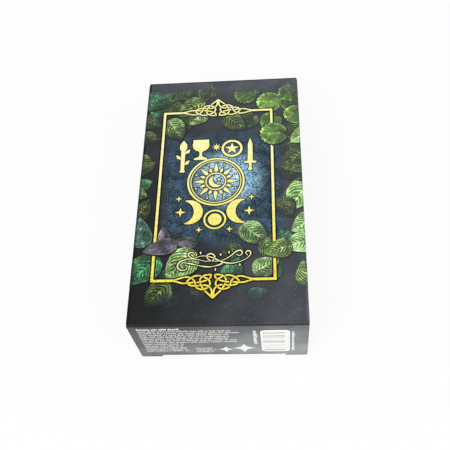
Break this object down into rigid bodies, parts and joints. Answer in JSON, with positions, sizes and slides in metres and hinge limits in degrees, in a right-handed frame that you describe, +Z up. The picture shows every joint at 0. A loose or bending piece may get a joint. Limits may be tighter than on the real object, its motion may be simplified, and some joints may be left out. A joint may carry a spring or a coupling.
{
  "type": "tarot card deck",
  "caption": "Tarot card deck with a stapled booklet in a printed folding carton, closed by a hinged tuck lid and dust flaps at each end.",
  "frame": {"origin": "centre of the back panel's outside face, on the table", "axes": "+Z up through the front panel, +Y along the box towards its top end, +X across the box to the right as the front is read"},
  "size_m": [0.071, 0.125, 0.0347],
  "materials": {
    "printed_board": "black printed carton board, satin laminate",
    "plain_board": "uncoated inside of the carton board",
    "card_stock": "coated card, white cut edges",
    "booklet_cover": "black printed cover paper",
    "booklet_paper": "uncoated book paper",
    "staple_wire": "bright steel stitching wire"
  },
  "bodies": {
    "carton": {"front_panel": "printed_board", "back_panel": "printed_board", "left_side_panel": "printed_board", "right_side_panel": "printed_board", "glue_flap": "plain_board"},
    "top_lid": {"top_lid": "printed_board"},
    "top_tongue": {"top_tuck_tongue": "printed_board"},
    "top_left_dust": {"top_left_dust_flap": "printed_board"},
    "top_right_dust": {"top_right_dust_flap": "printed_board"},
    "bottom_lid": {"bottom_lid": "printed_board"},
    "bottom_tongue": {"bottom_tuck_tongue": "printed_board"},
    "bottom_left_dust": {"bottom_left_dust_flap": "printed_board"},
    "bottom_right_dust": {"bottom_right_dust_flap": "printed_board"},
    "deck": {"major_arcana_cards": "card_stock", "wands_cards": "card_stock", "cups_cards": "card_stock", "swords_cards": "card_stock", "pentacles_cards": "card_stock"},
    "booklet": {"booklet_cover": "booklet_cover", "booklet_sheets": "booklet_paper", "booklet_staples": "staple_wire"}
  },
  "joints": [
    {"name": "top_lid_hinge", "type": "hinge", "parent": "carton", "child": "top_lid", "pos_m": [0, 0.0619, 0.03411], "axis": [1, 0, 0], "range_deg": [0, 120]},
    {"name": "top_tongue_fold", "type": "hinge", "parent": "top_lid", "child": "top_tongue", "pos_m": [0, 0.0619, 0.00193], "axis": [1, 0, 0], "range_deg": [-48, 0]},
    {"name": "top_left_dust_hinge", "type": "hinge", "parent": "carton", "child": "top_left_dust", "pos_m": [-0.0349, 0.06125, 0.01735], "axis": [0, 0, 1], "range_deg": [0, 90]},
    {"name": "top_right_dust_hinge", "type": "hinge", "parent": "carton", "child": "top_right_dust", "pos_m": [0.0349, 0.06125, 0.01735], "axis": [0, 0, -1], "range_deg": [0, 90]},
    {"name": "bottom_lid_hinge", "type": "hinge", "parent": "carton", "child": "bottom_lid", "pos_m": [0, -0.0619, 0.03411], "axis": [-1, 0, 0], "range_deg": [0, 120]},
    {"name": "bottom_tongue_fold", "type": "hinge", "parent": "bottom_lid", "child": "bottom_tongue", "pos_m": [0, -0.0619, 0.00193], "axis": [-1, 0, 0], "range_deg": [-48, 0]},
    {"name": "bottom_left_dust_hinge", "type": "hinge", "parent": "carton", "child": "bottom_left_dust", "pos_m": [-0.0349, -0.06125, 0.01735], "axis": [0, 0, -1], "range_deg": [0, 90]},
    {"name": "bottom_right_dust_hinge", "type": "hinge", "parent": "carton", "child": "bottom_right_dust", "pos_m": [0.0349, -0.06125, 0.01735], "axis": [0, 0, 1], "range_deg": [0, 90]},
    {"name": "deck_slide", "type": "slide", "parent": "carton", "child": "deck", "axis": [0, 1, 0], "range_m": [-0.001, 0.001]},
    {"name": "booklet_slide", "type": "slide", "parent": "carton", "child": "booklet", "axis": [0, 1, 0], "range_m": [-0.003, 0.003]}
  ],
  "couplings": [
    {"joint": "top_tongue_fold", "follows": "top_lid_hinge", "ratio": -0.4},
    {"joint": "top_left_dust_hinge", "follows": "top_lid_hinge", "ratio": 0.75},
    {"joint": "top_right_dust_hinge", "follows": "top_lid_hinge", "ratio": 0.75},
    {"joint": "bottom_tongue_fold", "follows": "bottom_lid_hinge", "ratio": -0.4},
    {"joint": "bottom_left_dust_hinge", "follows": "bottom_lid_hinge", "ratio": 0.75},
    {"joint": "bottom_right_dust_hinge", "follows": "bottom_lid_hinge", "ratio": 0.75}
  ]
}
